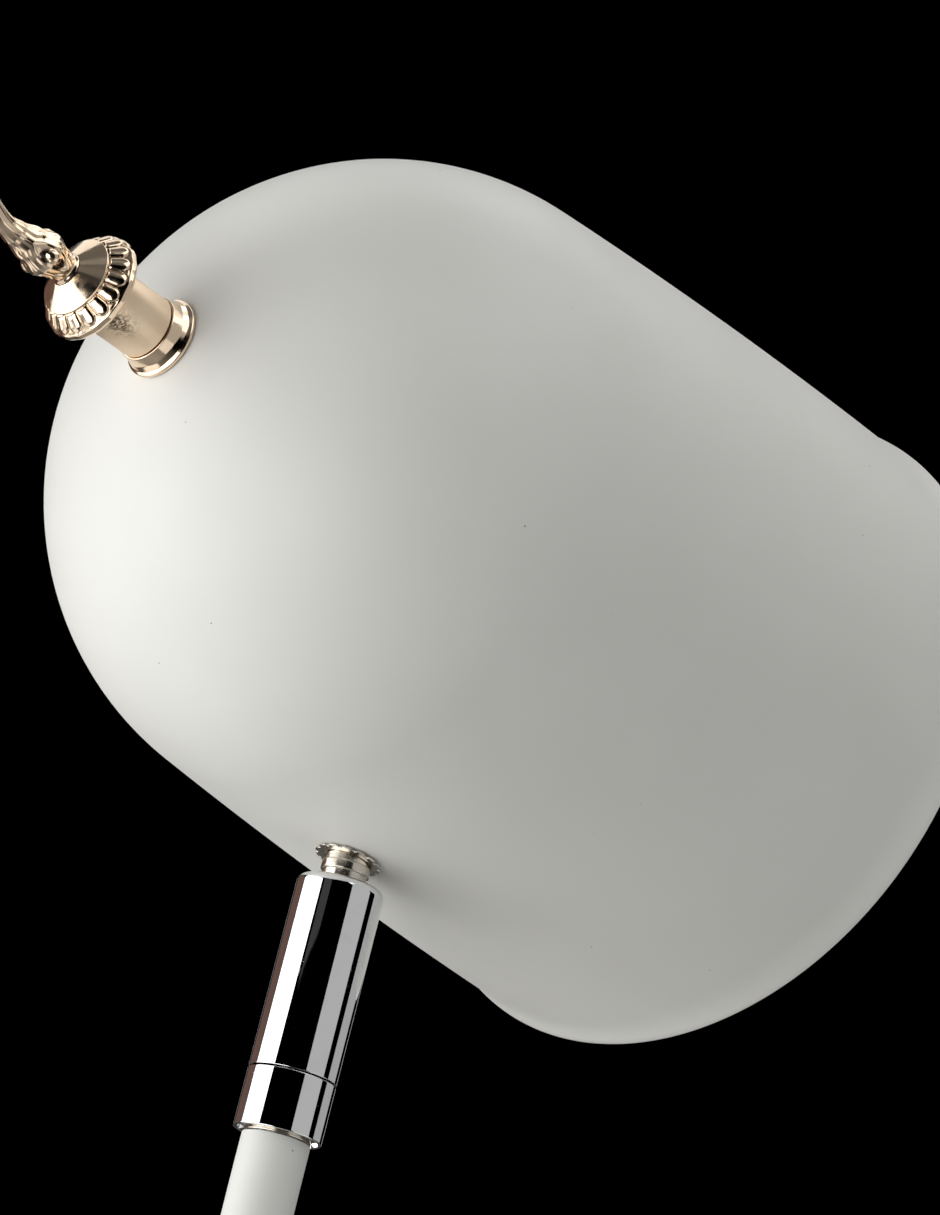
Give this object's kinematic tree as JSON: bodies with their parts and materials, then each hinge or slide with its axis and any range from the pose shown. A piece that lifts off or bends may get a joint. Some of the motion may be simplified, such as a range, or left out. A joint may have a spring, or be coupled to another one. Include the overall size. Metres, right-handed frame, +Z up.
{
  "type": "arc floor lamp",
  "caption": "Floor lamp with a bowed sectional tube on a weighted disc base, a swivelling chrome neck and a white bell shade with an ornate metal handle.",
  "frame": {"origin": "centre of the base's underside, on the floor", "axes": "+Z up; the stem bows in the XZ plane and the shade's mouth faces +X and a little down; +Y is the lamp's left as seen from behind the shade"},
  "size_m": [0.368, 0.3, 1.789],
  "materials": {
    "white_coat": "satin",
    "chrome": "polished",
    "nickel": "polished",
    "gilt": "polished",
    "steel": "satin",
    "cast_iron": "matte",
    "felt": "matte",
    "black_plastic": "satin",
    "opal_glass": "satin",
    "lead_sheath": "satin"
  },
  "bodies": {
    "stand": {"floor_pad": "felt", "base_weight": "cast_iron", "base_cover": "white_coat", "cord_gland": "black_plastic", "foot_ferrule": "chrome", "foot_plug": "steel", "foot_stud": "steel", "foot_locknut": "steel", "foot_washer": "steel", "lower_tube": "white_coat", "middle_tube": "white_coat", "upper_tube": "white_coat", "lower_coupler": "chrome", "upper_coupler": "chrome", "lower_spigot": "steel", "upper_spigot": "steel", "stem_wire": "lead_sheath", "tube_seat_ring": "nickel", "swivel_base": "chrome", "swivel_pivot": "steel"},
    "head": {"swivel_barrel": "chrome", "swivel_washer": "steel", "barrel_locknut": "steel", "shade_nipple": "nickel", "seat_washer": "nickel", "saddle_washer": "nickel", "nipple_locknut": "steel", "shade": "white_coat", "head_wire": "lead_sheath", "finial_flange": "gilt", "finial_neck": "gilt", "fluted_cup": "gilt", "finial_handle": "gilt", "finial_stud": "steel", "finial_washer": "steel", "finial_nut": "steel", "lampholder_cap": "black_plastic", "lampholder_body": "black_plastic", "lampholder_ring": "black_plastic", "bulb_cap": "nickel", "bulb_contact": "steel", "bulb_globe": "opal_glass"}
  },
  "joints": [
    {"name": "head_swivel", "type": "hinge", "parent": "stand", "child": "head", "pos_m": [-0.01448, 0, 1.49031], "axis": [0.3584, 0, 0.9336], "range_deg": [-165, 165]}
  ]
}
